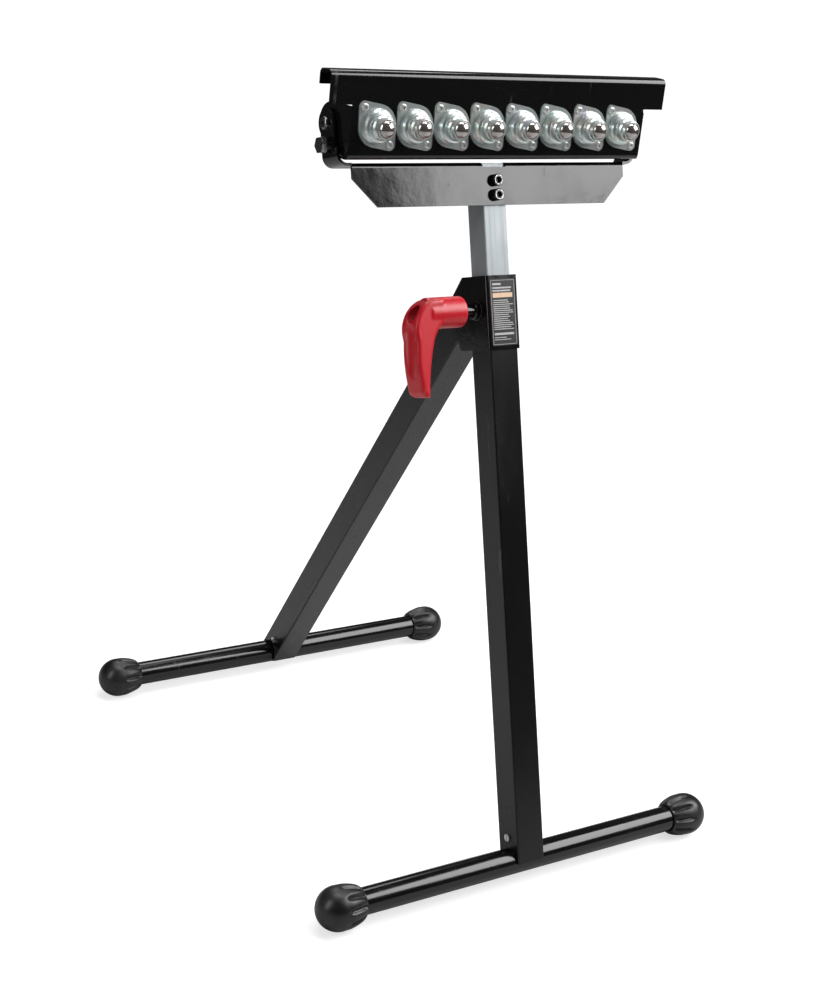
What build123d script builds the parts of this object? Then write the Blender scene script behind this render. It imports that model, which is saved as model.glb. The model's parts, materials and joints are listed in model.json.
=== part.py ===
"""Folding, height-adjustable material support stand with a tilting head.

The head carries a row of ball transfers on its front and a hooked rest along its top.
Millimetres, +Z up, X along the foot bars, Y from the front bar to the rear bar.
The origin is on the floor, midway between the two foot bars.
"""
import os
from math import atan2, cos, degrees, hypot, radians, sin, sqrt

from build123d import *

# ---------------------------------------------------------------- stance
bar_spacing = 482.0        # front bar axis to rear bar axis
bar_diameter = 25.0
bar_wall = 1.5
bar_length = 420.0
post_lean = 16.75          # degrees the front post leans back from upright

# ---------------------------------------------------------------- rubber foot caps
cap_radius = 20.5
floor_flat = 0.4           # how far the rubber is flattened where it stands
cap_mouth_radius = 14.5
cap_length = 44.5
cap_end_wall = 13.0        # rubber beyond the end of the bar
cap_waist_sink = 1.0       # waist under the crown's radius
cap_flutes = 10
flute_radius = 3.6
flute_sink = 1.3           # how deep a flute cuts into the rubber
flute_tilt = 10.5          # degrees; a flute runs out at the mouth
flute_stop = 2.0           # flutes end this far before the crown

# ---------------------------------------------------------------- fixed post and leg
# distances "up" run along the post from the front bar's axis, distances "back" run behind its axis
post_width = 30.0
post_wall = 1.6
saddle_gap = 0.05
saddle_side_gap = 0.2
saddle_start = 4.0
saddle_over_screw = 9.0

leg_width = post_width     # both fit between the collar's cheeks
leg_wall = 1.6
hinge_up = 512.0
hinge_margin = 3.0         # lets the leg's end turn past the post's back
hinge_back = post_width / 2 + leg_width / 2 + hinge_margin
leg_head = 20.0            # tube beyond the hinge
leg_stop_gap = 0.3         # leg's end to the post's back when open
leg_corner_gap = 0.6       # front wall's end to the post's back while folding
leg_front_cut = 3.0        # depth of the cut that shortens the front wall
post_top = hinge_up + 31.5

# ---------------------------------------------------------------- collar
collar_sheet = 2.0
collar_gap = 0.2
collar_bend = 2.6          # outside radius of its front corners
collar_inside = post_width / 2 + collar_gap
collar_outside = collar_inside + collar_sheet
collar_low = hinge_up - 32.5
collar_high = post_top + 3.0
cheek_back_low = hinge_back - 4.0
cheek_back = hinge_back + 4.5
cheek_back_high = hinge_back - 12.0
cheek_shoulder_low = hinge_up - 14.5
cheek_shoulder_high = hinge_up + 18.5

label_width = 28.0
label_height = 60.0
label_thickness = 0.4
label_corner = 1.5

# ---------------------------------------------------------------- sliding post
mast_width = 25.0
mast_wall = 1.5
mast_length = 521.5
slide_gap = 0.15           # each side, in the guide bush and round the foot plug
bush_length = 20.0
bush_flange = 2.0
plug_length = 22.0
plug_spigot = 14.0
plug_wall = 3.0
plug_chamfer = 1.5

# ---------------------------------------------------------------- clamp
clamp_up = hinge_up + 3.7
stud_radius = 4.0
stud_end = 7.0             # stud beyond the floor of the lever's recess
running_gap = 0.06         # radial, shaft in hole
weld_nut_radius = 8.0
weld_nut_length = 6.0
weld_nut_chamfer = 1.2
sleeve_radius = 6.0
sleeve_length = 12.0
sleeve_gap = 0.4           # sleeve to weld nut
pad_radius = 3.6
pad_thickness = 2.2
pad_gap = 0.1
sleeve_near = collar_outside + weld_nut_length + sleeve_gap
handle_near = sleeve_near + sleeve_length
handle_reach = 55.4        # lever's extent along the stud
handle_outer = handle_near + handle_reach
handle_boss_radius = 14.2
handle_boss_edge = 1.6
handle_half_depth = 13.2
handle_edge = 3.2
handle_drop = 74.5         # stud axis to the tip of the lever
handle_shoulder = 31.4     # grip starts this far in from the lever's outer face
recess_radius = 7.8
recess_depth = 22.0
recess_floor = handle_outer - recess_depth
thumb_radius = 14.0        # hollow for the thumb down the outer face
thumb_sink = 1.8
thumb_length = 44.0
thumb_tilt = 3.0           # degrees
thumb_down = 38.0          # middle of the hollow below the stud

# ---------------------------------------------------------------- ball transfers
ball_count = 8
ball_pitch = 38.0
ball_radius = 7.94
ball_up = 3.6              # above the pivot
ball_proud = 14.7          # ball centre ahead of the plate
ball_gap = 0.15
lip_rise = 3.2             # lip beyond the ball's centre
lip_inset = 0.49           # lip's bore inside the ball's radius
load_ball_radius = 1.0
load_ball_ring = 6
load_ball_tilt = 26.0
load_race_end = 3.7        # the small balls' race stops this far behind the ball's centre
flange_gap = 1.2           # between neighbouring flanges
flange_radius = (ball_pitch - flange_gap) / 2
flange_thickness = 1.4
rivet_across = 14.0
rivet_up = 15.7
rivet_radius = 2.0
rivet_head_radius = 3.3
rivet_head_height = 1.5
rivet_head_edge = 1.1
rivet_dimple_radius = 1.2
rivet_dimple_depth = 0.8
rivet_tail_radius = 2.8
rivet_tail_height = 1.2
flange_ear_radius = 5.2

# ---------------------------------------------------------------- head
plate_sheet = 2.0
plate_end_margin = 26.0    # last ball's axis to the end of the narrow lower plate
plate_front = 33.5         # front face of the plate, ahead of the pivot
plate_bottom = 25.9        # below the pivot
plate_top = 48.5           # above the pivot
hook_depth = 20.0
hook_drop = 13.5
shoulder = 20.8            # where the wide upper plate steps in to the narrow lower one
lower_half_length = (ball_count - 1) / 2 * ball_pitch + plate_end_margin
upper_half_length = lower_half_length + 21.5
flange_back = 8.0          # bottom flange ends this far ahead of the pivot
plate_bend = 5.0           # outside radius of the bends
end_plate_radius = 18.0
end_plate_top = 19.5
relief_radius = 1.6

# ---------------------------------------------------------------- yoke
yoke_sheet = 2.5
ear_gap = 1.5              # end plate to ear
yoke_half_span = lower_half_length + ear_gap + yoke_sheet
rest_extension = 65.5      # apron above the fixed post as drawn
apron_height = 38.0
apron_low = post_top + rest_extension
yoke_top = apron_low + apron_height
mast_top = yoke_top - 0.5
mast_bottom = mast_top - mast_length
yoke_bend = 10.0           # outside radius where the ears turn up
yoke_crease = 4.5          # outside radius between apron and web
yoke_front = mast_width / 2 + yoke_sheet
yoke_back = 10.0
apron_half_length = yoke_half_span - 14.0
apron_chamfer = 24.5
apron_screw_low = apron_low + 9.0
apron_screw_high = apron_low + 22.0
slot_gap = 0.1             # post's end in the web's slot
slot_depth = 1.6           # slot down the apron below the web
pivot_up = yoke_top + 35.0
ear_radius = 12.5
ear_foot = 14.0            # height above the web where the ear's front edge starts

# ---------------------------------------------------------------- fasteners
through = 400.0            # half-length of a cut that passes right through
m8_flats = 13.0
m8_head = 5.3
m8_nut = 6.5
m8_washer_radius = 8.0
m6_flats = 10.0
m6_nut = 5.0
m6_washer_radius = 6.2
washer_thickness = 1.2
thread_beyond_nut = 3.0
pivot_radius = 3.0
pivot_head_radius = 5.5
pivot_head_height = 3.4
pivot_head_round = 2.0
pivot_socket_flats = 4.0
pivot_socket_depth = 1.8
pivot_bush_wall = 1.2
pivot_bush_flange = 0.7
pivot_bush_flange_width = 3.0
pivot_bush_end = 0.4       # bush beyond the end plate's inner face
pivot_washer_gap = 0.3
lock_down = 18.5           # lock bolt below the pivot, along the post
lock_radius = 4.0
lock_tip_radius = 3.6
lock_tip_gap = 0.3         # tip to end plate when slack
lock_shoulder = 0.2        # point starts this far outside the ear's inner face
lock_head_flats = 12.7
lock_head_height = 5.0
lock_flange = 1.2
lock_flange_width = 0.8
lock_stand_off = 3.6       # head to ear when slack
lock_notch_radius = 4.3
lock_boss = 9.0            # hole depth for the lock bolt, from the ear's outer face
hinge_radius = 4.0
hinge_bush_wall = 1.5
hinge_bush_length = 4.0    # inside the leg's wall
hinge_bush_flange = 2.0
apron_screw_radius = 3.0
apron_head_radius = 5.0
apron_head_height = 6.0
apron_head_edge = 0.5
apron_socket_flats = 5.0
apron_socket_depth = 3.0
foot_screw_up = 23.0
foot_screw_radius = 2.0
foot_screw_length = 8.0
foot_screw_head = 3.6
foot_screw_head_height = 1.8
foot_slot_width = 1.0
foot_slot_depth = 0.8

# ---------------------------------------------------------------- places worked out
bar_height = cap_radius - floor_flat
front_y = -bar_spacing / 2
rear_y = bar_spacing / 2
post_frame = Location((0, front_y, bar_height), (-post_lean, 0, 0))
lean_sin = sin(radians(post_lean))
lean_cos = cos(radians(post_lean))


def post_point(back, up):
    """Y and Z of a point given behind and along the post."""
    y = front_y + back * lean_cos + up * lean_sin
    z = bar_height - back * lean_sin + up * lean_cos
    return y, z


hinge_y, hinge_z = post_point(hinge_back, hinge_up)
pivot_y, pivot_z = post_point(0, pivot_up)
leg_length = hypot(rear_y - hinge_y, hinge_z - bar_height)
leg_lean = degrees(atan2(rear_y - hinge_y, hinge_z - bar_height))
leg_frame = Location((0, rear_y, bar_height), (leg_lean, 0, 0))
head_frame = Location((0, pivot_y, pivot_z))
pivot_nut_start = lower_half_length - plate_sheet - pivot_washer_gap - pivot_bush_end - washer_thickness
ball_places = [(i - (ball_count - 1) / 2) * ball_pitch for i in range(ball_count)]


# ---------------------------------------------------------------- helpers
def save(name, solids, frame=Location()):
    """Write one node; a list of solids stays a group of separate solids."""
    if not isinstance(solids, list):
        solids = [solids]
    placed = [frame * solid for solid in solids]
    shape = placed[0] if len(placed) == 1 else Compound(children=placed)
    export_step(shape, f"parts/{name}.step")


def square_tube(width, wall, low, high):
    middle = Pos(0, 0, (low + high) / 2)
    return middle * (Box(width, width, high - low) - Box(width - 2 * wall, width - 2 * wall, high - low))


def rod_x(radius, x1, x2, y=0, z=0):
    """A round bar along X."""
    return Pos((x1 + x2) / 2, y, z) * Rot(0, 90, 0) * Cylinder(radius, abs(x2 - x1))


def rod_y(radius, y1, y2, x=0, z=0):
    """A round bar along Y."""
    return Pos(x, (y1 + y2) / 2, z) * Rot(90, 0, 0) * Cylinder(radius, abs(y2 - y1))


def hex_x(flats, x1, x2, y=0, z=0):
    """A hexagonal bar along X."""
    section = Plane.YZ * RegularPolygon(flats / 2, 6, major_radius=False)
    return Pos(min(x1, x2), y, z) * extrude(section, abs(x2 - x1))


def hex_y(flats, y1, y2, x=0, z=0):
    """A hexagonal bar along Y."""
    section = Plane.XZ * RegularPolygon(flats / 2, 6, major_radius=False)
    return Pos(x, max(y1, y2), z) * extrude(section, abs(y2 - y1))


def block(x1, x2, y1, y2, z1, z2):
    centre = Pos((x1 + x2) / 2, (y1 + y2) / 2, (z1 + z2) / 2)
    return centre * Box(abs(x2 - x1), abs(y2 - y1), abs(z2 - z1))


# ---------------------------------------------------------------- feet
def foot_bar():
    half = bar_length / 2
    return rod_x(bar_diameter / 2, -half, half) - rod_x(bar_diameter / 2 - bar_wall, -half, half)


def foot_cap(side):
    """Rubber bulb over a bar's end, with scalloped flutes round its mouth."""
    tip = bar_length / 2 + cap_end_wall
    mouth = tip - cap_length
    crown = tip - cap_radius
    waist = (mouth + crown) / 2
    waist_radius = cap_radius - cap_waist_sink
    outline = [
        Line((mouth, 0), (mouth, cap_mouth_radius)),
        ThreePointArc((mouth, cap_mouth_radius), (waist, waist_radius), (crown, cap_radius)),
        RadiusArc((crown, cap_radius), (tip, 0), cap_radius),
        Line((tip, 0), (mouth, 0)),
    ]
    cap = revolve(make_face(outline), Axis.X)
    cap -= rod_x(bar_diameter / 2, mouth - 1, bar_length / 2)
    flute_end = crown - flute_stop
    axis_radius = cap_radius + flute_radius - flute_sink
    groove = rod_x(flute_radius, mouth - 2, flute_end, z=axis_radius)
    groove += Pos(flute_end, 0, axis_radius) * Sphere(flute_radius)
    groove = Rot(0, -flute_tilt, 0) * groove
    for i in range(cap_flutes):
        cap -= Rot(360 / cap_flutes * (i + 0.5), 0, 0) * groove
    cap -= block(mouth - 1, tip + 1, -cap_radius, cap_radius, -2 * cap_radius, -bar_height)
    return cap if side > 0 else Rot(0, 0, 180) * cap


def saddle_block(width, wall):
    """Moulded block inside a tube's foot, resting on the bar."""
    half = width / 2 - wall - saddle_side_gap
    body = block(-half, half, -half, half, saddle_start, foot_screw_up + saddle_over_screw)
    body -= rod_x(bar_diameter / 2 + saddle_gap, -width, width)
    body -= rod_x(foot_screw_radius, -width, width, z=foot_screw_up)
    return body


def foot_screws(width):
    """One pan-head screw in each side of a tube's foot."""
    screws = []
    for side in (-1, 1):
        face = side * width / 2
        top = face + side * foot_screw_head_height
        shank = rod_x(foot_screw_radius, face - side * foot_screw_length, face, z=foot_screw_up)
        head = rod_x(foot_screw_head, face, top, z=foot_screw_up)
        slot = block(top - side * foot_slot_depth, top + side, -foot_slot_width / 2, foot_slot_width / 2,
                     foot_screw_up - foot_screw_head, foot_screw_up + foot_screw_head)
        screws.append(shank + head - slot)
    return screws


# ---------------------------------------------------------------- post and leg
def front_post():
    post = square_tube(post_width, post_wall, 0, post_top)
    post -= rod_x(bar_diameter / 2 + saddle_gap, -post_width, post_width)
    post -= rod_x(foot_screw_radius, -post_width, post_width, z=foot_screw_up)
    post -= rod_x(stud_radius + running_gap, -post_width, 0, z=clamp_up)
    return post


def rear_leg():
    """Square tube: side walls stop on top of the bar, front and back walls hang over it."""
    leg = square_tube(leg_width, leg_wall, 0, leg_length + leg_head)
    far = 2 * leg_width
    sill = Rot(-leg_lean, 0, 0) * block(-far, far, -far, far, -far, bar_diameter / 2)
    sides_only = block(-far, far, leg_wall - leg_width / 2, leg_width / 2 - leg_wall, -far, far)
    leg -= sill & sides_only
    leg -= rod_x(bar_diameter / 2 + saddle_gap, -leg_width, leg_width)
    leg -= rod_x(foot_screw_radius, -leg_width, leg_width, z=foot_screw_up)
    leg -= rod_x(hinge_radius + hinge_bush_wall, -leg_width, leg_width, z=leg_length)
    # front wall stops short so that it swings clear of the post
    reach = hinge_back - post_width / 2 - leg_stop_gap
    corner = sqrt(reach ** 2 - (leg_width / 2) ** 2) - leg_corner_gap
    leg -= block(-far, far, -leg_width, leg_front_cut - leg_width / 2, leg_length + corner, leg_length + far)
    # end cut that bears on the post's back when the leg is open
    turn = Pos(0, 0, leg_length) * Rot(-leg_lean - post_lean, 0, 0)
    leg -= turn * block(-far, far, -far, -reach, -far, far)
    return leg


def leg_bushes():
    bushes = []
    for side in (-1, 1):
        wall = side * (leg_width / 2 - leg_wall)
        inner = wall - side * hinge_bush_length
        radius = hinge_radius + hinge_bush_wall
        sleeve = rod_x(radius, inner, side * leg_width / 2, z=leg_length)
        collar = rod_x(radius + hinge_bush_flange, inner, wall, z=leg_length)
        bore = rod_x(hinge_radius + running_gap, -leg_width, leg_width, z=leg_length)
        bushes.append(sleeve + collar - bore)
    return bushes


# ---------------------------------------------------------------- collar group
def clamp_collar():
    """Channel of sheet round the post; its cheeks carry the leg's hinge."""
    cheek = make_face(Plane.YZ * Polyline(
        (-collar_outside, collar_low), (cheek_back_low, collar_low), (cheek_back, cheek_shoulder_low),
        (cheek_back, cheek_shoulder_high), (cheek_back_high, collar_high), (-collar_outside, collar_high),
        close=True))
    solid = extrude(cheek, collar_outside, both=True)
    solid = fillet(solid.edges().filter_by(Axis.Z).group_by(Axis.Y)[0], collar_bend)
    low, high = collar_low - 1, collar_high + 1
    solid -= block(-collar_inside, collar_inside, -collar_inside, through, low, high)
    solid -= rod_x(stud_radius + running_gap, -through, 0, z=clamp_up)
    solid -= rod_x(hinge_radius, -through, through, y=hinge_back, z=hinge_up)
    return solid


def label_plate():
    middle = (collar_low + collar_high) / 2
    plate = block(-label_width / 2, label_width / 2, -collar_outside - label_thickness, -collar_outside,
                  middle - label_height / 2, middle + label_height / 2)
    return fillet(plate.edges().filter_by(Axis.Y), label_corner)


def guide_bush():
    inside = post_width - 2 * post_wall
    sleeve = square_tube(inside, (inside - mast_width) / 2 - slide_gap, post_top - bush_length, post_top)
    rim = (post_width - mast_width) / 2 - slide_gap
    flange = square_tube(post_width, rim, post_top, post_top + bush_flange)
    return sleeve + flange


def clamp_weld_nut():
    start = collar_outside
    nut = rod_x(weld_nut_radius, -start - weld_nut_length, -start, z=clamp_up)
    nut = chamfer(nut.edges().group_by(Axis.X)[0], weld_nut_chamfer)
    return nut - rod_x(stud_radius + running_gap, -through, 0, z=clamp_up)


def hinge_bolt():
    start = collar_outside + washer_thickness
    shank = rod_x(hinge_radius, -start, start + m8_nut + thread_beyond_nut, y=hinge_back, z=hinge_up)
    return shank + hex_x(m8_flats, -start - m8_head, -start, y=hinge_back, z=hinge_up)


def hinge_washers():
    washers = []
    for side in (-1, 1):
        x1, x2 = side * collar_outside, side * (collar_outside + washer_thickness)
        disc = rod_x(m8_washer_radius, x1, x2, y=hinge_back, z=hinge_up)
        washers.append(disc - rod_x(hinge_radius, -through, through, y=hinge_back, z=hinge_up))
    return washers


def hinge_nut():
    start = collar_outside + washer_thickness
    nut = hex_x(m8_flats, start, start + m8_nut, y=hinge_back, z=hinge_up)
    return nut - rod_x(hinge_radius, 0, through, y=hinge_back, z=hinge_up)


# ---------------------------------------------------------------- clamp group
def clamp_stud():
    inner = mast_width / 2 + pad_gap + pad_thickness
    return rod_x(stud_radius, -recess_floor - stud_end, -inner, z=clamp_up)


def pressure_pad():
    inner = mast_width / 2 + pad_gap
    return rod_x(pad_radius, -inner - pad_thickness, -inner, z=clamp_up)


def stud_sleeve():
    sleeve = rod_x(sleeve_radius, -handle_near, -sleeve_near, z=clamp_up)
    return sleeve - rod_x(stud_radius, -through, 0, z=clamp_up)


def thumb_hollow():
    """A long rounded cutter, leaning like the lever's outer face."""
    half = thumb_length / 2
    outline = [
        Line((0, -half - thumb_radius), (0, half + thumb_radius)),
        ThreePointArc((0, half + thumb_radius), (thumb_radius * sin(radians(45)),
                      half + thumb_radius * cos(radians(45))), (thumb_radius, half)),
        Line((thumb_radius, half), (thumb_radius, -half)),
        ThreePointArc((thumb_radius, -half), (thumb_radius * sin(radians(45)),
                      -half - thumb_radius * cos(radians(45))), (0, -half - thumb_radius)),
    ]
    cutter = revolve(make_face(Plane.XZ * Wire(outline)), Axis.Z)
    middle = -handle_outer - thumb_radius + thumb_sink
    return Pos(middle, 0, clamp_up - thumb_down) * Rot(0, thumb_tilt, 0) * cutter


def clamp_handle():
    """L-shaped lever: a round boss on the stud and a flat-sided grip hanging from it."""
    top = clamp_up + handle_boss_radius
    tip = clamp_up - handle_drop

    def at(inset, up):
        return inset - handle_outer, up

    outline = [
        Line(at(handle_shoulder, top - 1.2), at(18, top - 2.0)),
        ThreePointArc(at(18, top - 2.0), at(4.8, top - 11.6), at(0, top - 38)),
        ThreePointArc(at(0, top - 38), at(0.3, tip + 20), at(2.2, tip + 8)),
        ThreePointArc(at(2.2, tip + 8), at(4.6, tip + 2), at(9.2, tip)),
        Line(at(9.2, tip), at(11, tip)),
        ThreePointArc(at(11, tip), at(13, tip + 24), at(17.8, clamp_up - 28)),
        ThreePointArc(at(17.8, clamp_up - 28), at(23.2, clamp_up - 15.5), at(handle_shoulder, clamp_up - 7)),
        Line(at(handle_shoulder, clamp_up - 7), at(handle_shoulder, top - 1.2)),
    ]
    grip = extrude(make_face(Plane.XZ * Wire(outline)), handle_half_depth, both=True)
    grip = fillet(grip.edges().filter_by(lambda e: abs(e.tangent_at(0.5).Y) < 0.5), handle_edge)
    boss = rod_x(handle_boss_radius, at(17, 0)[0], -handle_near, z=clamp_up)
    boss = fillet(boss.edges().group_by(Axis.X)[-1], handle_boss_edge)
    handle = grip + boss - thumb_hollow()
    handle -= rod_x(recess_radius, -through, -recess_floor, z=clamp_up)
    return handle - rod_x(stud_radius, -through, 0, z=clamp_up)


def handle_nut():
    nut = hex_x(m8_flats, -recess_floor - m8_head, -recess_floor, z=clamp_up)
    return nut - rod_x(stud_radius, -through, 0, z=clamp_up)


# ---------------------------------------------------------------- sliding post
def inner_post():
    tube = square_tube(mast_width, mast_wall, mast_bottom, mast_top)
    for up in (apron_screw_low, apron_screw_high):
        tube -= rod_y(apron_screw_radius, -through, through, z=up)
    return tube


def post_foot_plug():
    inside = post_width / 2 - post_wall - slide_gap
    bore = mast_width / 2 - mast_wall
    hole = bore - plug_wall
    low = mast_bottom - plug_length
    high = mast_bottom + plug_spigot
    shoe = block(-inside, inside, -inside, inside, low, mast_bottom)
    shoe = chamfer(shoe.edges().group_by(Axis.Z)[0], plug_chamfer)
    spigot = block(-bore, bore, -bore, bore, mast_bottom, high)
    hollow = block(-hole, hole, -hole, hole, low - 1, high + 1)
    return shoe + spigot - hollow


# ---------------------------------------------------------------- yoke
def yoke():
    """One bent sheet: apron bolted to the post, web behind its top edge, an ear at each end."""
    half = yoke_half_span - yoke_sheet / 2
    web_middle = yoke_top - yoke_sheet / 2
    path = FilletPolyline((-half, pivot_up), (-half, web_middle), (half, web_middle), (half, pivot_up),
                          radius=yoke_bend - yoke_sheet / 2)
    strap = extrude(Plane.XZ * trace(path, yoke_sheet), yoke_front + yoke_back, dir=(0, 1, 0))
    strap = Pos(0, -yoke_front, 0) * strap
    apron = make_face(Plane.XZ * Polyline(
        (-apron_half_length, yoke_top), (-apron_half_length, apron_low + apron_chamfer),
        (-apron_half_length + apron_chamfer, apron_low), (apron_half_length - apron_chamfer, apron_low),
        (apron_half_length, apron_low + apron_chamfer), (apron_half_length, yoke_top), close=True))
    bracket = strap + Pos(0, -yoke_front, 0) * extrude(apron, yoke_sheet, dir=(0, 1, 0))
    corner = block(-apron_half_length, apron_half_length, -yoke_front - 1, -yoke_front + yoke_crease,
                   yoke_top - yoke_crease, yoke_top + 1)
    bracket -= corner - rod_x(yoke_crease, -yoke_half_span, yoke_half_span,
                              y=-yoke_front + yoke_crease, z=yoke_top - yoke_crease)
    for side in (-1, 1):
        x1, x2 = side * (yoke_half_span - yoke_sheet), side * yoke_half_span
        bracket += rod_x(ear_radius, x1, x2, z=pivot_up)
        bracket -= block(x1, x2, -through, -ear_radius, yoke_top + ear_foot, pivot_up + 2 * ear_radius)
        bracket -= rod_x(pivot_radius, x1 - side, x2 + side, z=pivot_up)
    bracket -= rod_x(lock_radius + running_gap, -yoke_half_span - 1, lock_boss - yoke_half_span,
                     z=pivot_up - lock_down)
    slot = mast_width / 2 + slot_gap
    slot_floor = yoke_top - yoke_sheet - slot_depth
    bracket -= block(-slot, slot, -yoke_front - 1, yoke_back + 1, slot_floor, yoke_top + 1)
    for up in (apron_screw_low, apron_screw_high):
        bracket -= rod_y(apron_screw_radius, -through, 0, z=up)
    return bracket


def apron_screws():
    """Socket-head cap screws through the apron and the post."""
    screws = []
    for up in (apron_screw_low, apron_screw_high):
        end = mast_width / 2 + washer_thickness + m6_nut + thread_beyond_nut
        face = -yoke_front - apron_head_height
        shank = rod_y(apron_screw_radius, -yoke_front, end, z=up)
        head = rod_y(apron_head_radius, face, -yoke_front, z=up)
        head = chamfer(head.edges().group_by(Axis.Y)[0], apron_head_edge)
        socket = hex_y(apron_socket_flats, face - 1, face + apron_socket_depth, z=up)
        screws.append(shank + head - socket)
    return screws


def apron_washers():
    start = mast_width / 2
    washers = []
    for up in (apron_screw_low, apron_screw_high):
        disc = rod_y(m6_washer_radius, start, start + washer_thickness, z=up)
        washers.append(disc - rod_y(apron_screw_radius, -through, through, z=up))
    return washers


def apron_nuts():
    start = mast_width / 2 + washer_thickness
    nuts = []
    for up in (apron_screw_low, apron_screw_high):
        nut = hex_y(m6_flats, start, start + m6_nut, z=up)
        nuts.append(nut - rod_y(apron_screw_radius, -through, through, z=up))
    return nuts


# ---------------------------------------------------------------- head pivots and lock
def pivot_bolts():
    bolts = []
    for side in (-1, 1):
        face = side * yoke_half_span
        head = rod_x(pivot_head_radius, face, face + side * pivot_head_height)
        rim = head.edges().group_by(Axis.X)[0 if side < 0 else -1]
        head = fillet(rim, pivot_head_round)
        top = face + side * pivot_head_height
        socket = hex_x(pivot_socket_flats, top - side * pivot_socket_depth, top + side)
        end = pivot_nut_start - m6_nut - thread_beyond_nut
        shank = rod_x(pivot_radius, side * end, face)
        bolts.append(Pos(0, 0, pivot_up) * (head + shank - socket))
    return bolts


def pivot_bushes():
    """Flanged bushes in the head's end plates."""
    bushes = []
    for side in (-1, 1):
        outer = side * lower_half_length
        inner = side * (lower_half_length - plate_sheet - pivot_bush_end)
        radius = pivot_radius + pivot_bush_wall
        sleeve = rod_x(radius, inner, outer)
        flange = rod_x(radius + pivot_bush_flange_width, outer, outer + side * pivot_bush_flange)
        bushes.append(sleeve + flange - rod_x(pivot_radius + running_gap, -through, through))
    return bushes


def pivot_washers():
    washers = []
    for side in (-1, 1):
        disc = rod_x(m6_washer_radius, side * pivot_nut_start, side * (pivot_nut_start + washer_thickness))
        washers.append(Pos(0, 0, pivot_up) * (disc - rod_x(pivot_radius, -through, through)))
    return washers


def pivot_nuts():
    nuts = []
    for side in (-1, 1):
        nut = hex_x(m6_flats, side * pivot_nut_start, side * (pivot_nut_start - m6_nut))
        nuts.append(Pos(0, 0, pivot_up) * (nut - rod_x(pivot_radius, -through, through)))
    return nuts


def lock_bolt():
    """Flanged hex bolt; screwed in, its dog point enters a notch of the end plate."""
    up = pivot_up - lock_down
    under = -yoke_half_span - lock_stand_off
    tip = -lower_half_length - lock_tip_gap
    neck = -yoke_half_span + yoke_sheet - lock_shoulder
    head = hex_x(lock_head_flats, under - lock_head_height, under - lock_flange, z=up)
    flange = rod_x(lock_head_flats / 2 + lock_flange_width, under - lock_flange, under, z=up)
    shank = rod_x(lock_radius, under, neck, z=up)
    point = rod_x(lock_tip_radius, neck, tip, z=up)
    return head + flange + shank + point


# ---------------------------------------------------------------- head
def end_plate(side):
    """Ear folded back from the ball plate, round about the pivot."""
    front = -plate_front + plate_sheet / 2
    outline = Polyline((front, end_plate_top), (0, end_plate_radius), (0, -end_plate_radius),
                       (front, -plate_bottom + plate_sheet / 2), close=True)
    section = make_face(Plane.YZ * outline) + Plane.YZ * Circle(end_plate_radius)
    start = lower_half_length - plate_sheet if side > 0 else -lower_half_length
    plate = Pos(start, 0, 0) * extrude(section, plate_sheet, dir=(1, 0, 0))
    for angle in (-90 - post_lean, -post_lean):
        y = lock_down * cos(radians(angle))
        z = lock_down * sin(radians(angle))
        plate -= rod_x(lock_notch_radius, -through, through, y=y, z=z)
    return plate


def rivet_places(x):
    return [(x - rivet_across, ball_up + rivet_up), (x + rivet_across, ball_up - rivet_up)]


def support_plate():
    """Folded sheet: hooked rest on top, ball plate in front, flange below, an end plate each side."""
    half = plate_sheet / 2
    behind = 2 * plate_sheet - plate_front
    path = FilletPolyline(
        (-flange_back, -plate_bottom + half), (-plate_front + half, -plate_bottom + half),
        (-plate_front + half, plate_top - half), (hook_depth - plate_front - half, plate_top - half),
        (hook_depth - plate_front - half, plate_top - hook_drop), radius=plate_bend - half)
    sheet = extrude(Plane.YZ * trace(path, plate_sheet), upper_half_length, both=True)
    for side in (-1, 1):
        x1, x2 = side * lower_half_length, side * (upper_half_length + 1)
        sheet -= block(x1, x2, -2 * plate_front, 0, -2 * plate_front, shoulder)
        sheet -= rod_y(relief_radius, -plate_front - 1, behind, x=x1, z=shoulder - relief_radius)
        sheet += end_plate(side)
        sheet -= rod_x(pivot_radius + pivot_bush_wall, x1 - 2 * plate_sheet, x1 + 2 * plate_sheet)
    for x in ball_places:
        for rivet_x, rivet_z in rivet_places(x):
            sheet -= rod_y(rivet_radius, -plate_front - 1, behind, x=rivet_x, z=rivet_z)
    return sheet


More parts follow.
